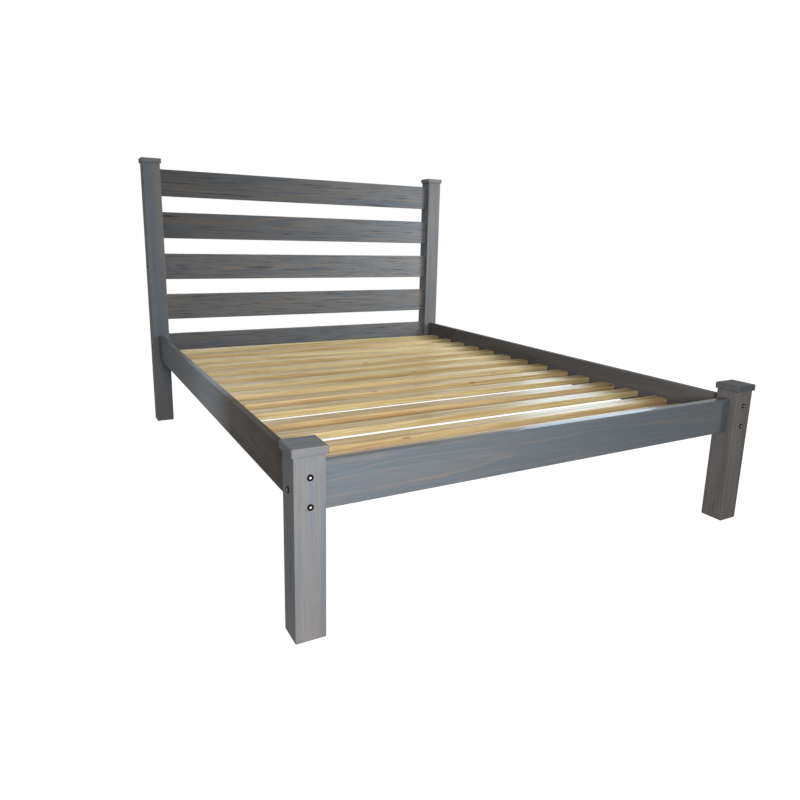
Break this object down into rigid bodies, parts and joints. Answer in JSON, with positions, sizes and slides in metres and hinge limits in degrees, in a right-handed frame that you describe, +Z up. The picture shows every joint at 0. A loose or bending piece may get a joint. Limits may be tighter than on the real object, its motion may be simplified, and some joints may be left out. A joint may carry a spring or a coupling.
{
  "type": "platform bed",
  "caption": "Pine platform bed with square capped posts, a headboard of wide level rails, deep side and foot rails, and a deck of loose slats",
  "frame": {"origin": "on the floor, under the middle of the bed", "axes": "+X to the right of a person who stands at the foot and faces the headboard, +Y to the headboard, +Z up"},
  "size_m": [1.661, 2.175, 1.2865],
  "materials": {
    "stained_pine": "blue-grey stain under a satin clear coat, with brown grain showing through",
    "natural_pine": "sanded, with no finish",
    "black_steel": "black oxide, satin"
  },
  "bodies": {
    "root": {"foot_post_left": "stained_pine", "foot_post_right": "stained_pine", "head_post_left": "stained_pine", "head_post_right": "stained_pine", "foot_cap_left": "stained_pine", "foot_cap_right": "stained_pine", "head_cap_left": "stained_pine", "head_cap_right": "stained_pine", "foot_rail": "stained_pine", "side_rail_left": "stained_pine", "side_rail_right": "stained_pine", "head_rail_1": "stained_pine", "head_rail_2": "stained_pine", "head_rail_3": "stained_pine", "head_rail_4": "stained_pine", "head_rail_5": "stained_pine", "cleat_left": "stained_pine", "cleat_right": "stained_pine", "slat_01": "natural_pine", "slat_02": "natural_pine", "slat_03": "natural_pine", "slat_04": "natural_pine", "slat_05": "natural_pine", "slat_06": "natural_pine", "slat_07": "natural_pine", "slat_08": "natural_pine", "slat_09": "natural_pine", "slat_10": "natural_pine", "slat_11": "natural_pine", "slat_12": "natural_pine", "slat_13": "natural_pine", "slat_14": "natural_pine", "foot_rail_bolts": "black_steel", "head_rail_bolts": "black_steel", "side_rail_bolts": "black_steel"}
  },
  "joints": []
}
